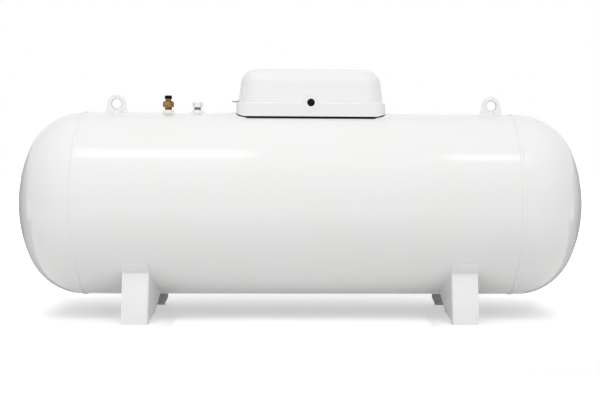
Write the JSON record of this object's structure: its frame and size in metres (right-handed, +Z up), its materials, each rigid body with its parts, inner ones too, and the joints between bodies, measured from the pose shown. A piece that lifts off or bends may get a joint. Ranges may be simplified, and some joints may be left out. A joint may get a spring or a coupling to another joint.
{
  "type": "horizontal pressure tank",
  "caption": "Horizontal steel pressure tank on folded plate legs, with dished ends, lifting lugs, a relief valve and a hinged hood over its valves.",
  "frame": {"origin": "on the floor under the middle of the tank", "axes": "+X along the tank to its right end, -Y to the front, +Z up"},
  "size_m": [3.0874, 1.0062, 1.355],
  "materials": {
    "tank_paint": "gloss white paint",
    "plug_paint": "white paint over steel",
    "hood_shell": "gloss white",
    "brass": "machined",
    "black_plastic": "satin",
    "rubber": "matte",
    "zinc_steel": "zinc plated",
    "aluminium": "cast and machined",
    "dial": "gloss"
  },
  "bodies": {
    "tank": {"barrel": "tank_paint", "fill_cap": "black_plastic", "fill_valve": "brass", "foot_plate_front_left": "tank_paint", "foot_plate_front_right": "tank_paint", "foot_plate_rear_left": "tank_paint", "foot_plate_rear_right": "tank_paint", "gauge_dial": "dial", "gauge_flange": "aluminium", "girth_weld_left": "tank_paint", "girth_weld_right": "tank_paint", "head_left": "tank_paint", "head_right": "tank_paint", "hinge_bracket_left": "tank_paint", "hinge_bracket_right": "tank_paint", "hinge_pin_left": "zinc_steel", "hinge_pin_right": "zinc_steel", "hood_collar": "tank_paint", "hood_gasket": "rubber", "leg_front_left": "tank_paint", "leg_front_right": "tank_paint", "leg_pad_front_left": "tank_paint", "leg_pad_front_right": "tank_paint", "leg_pad_rear_left": "tank_paint", "leg_pad_rear_right": "tank_paint", "leg_rear_left": "tank_paint", "leg_rear_right": "tank_paint", "lifting_lug_left": "tank_paint", "lifting_lug_right": "tank_paint", "plug": "plug_paint", "plug_coupling": "tank_paint", "pressure_gauge": "dial", "relief_cap": "black_plastic", "relief_coupling": "tank_paint", "relief_valve": "brass", "service_handwheel": "black_plastic", "service_valve": "brass", "valve_couplings": "tank_paint"},
    "hood": {"hood": "hood_shell", "lock_barrel": "black_plastic", "lock_cam": "zinc_steel", "stay_pin": "zinc_steel", "hood_strap_left": "zinc_steel", "hood_strap_right": "zinc_steel"}
  },
  "joints": [
    {"name": "hood_hinge", "type": "hinge", "parent": "tank", "child": "hood", "pos_m": [0.044, 0.205, 1.105], "axis": [-1, 0, 0], "range_deg": [0, 100]}
  ]
}
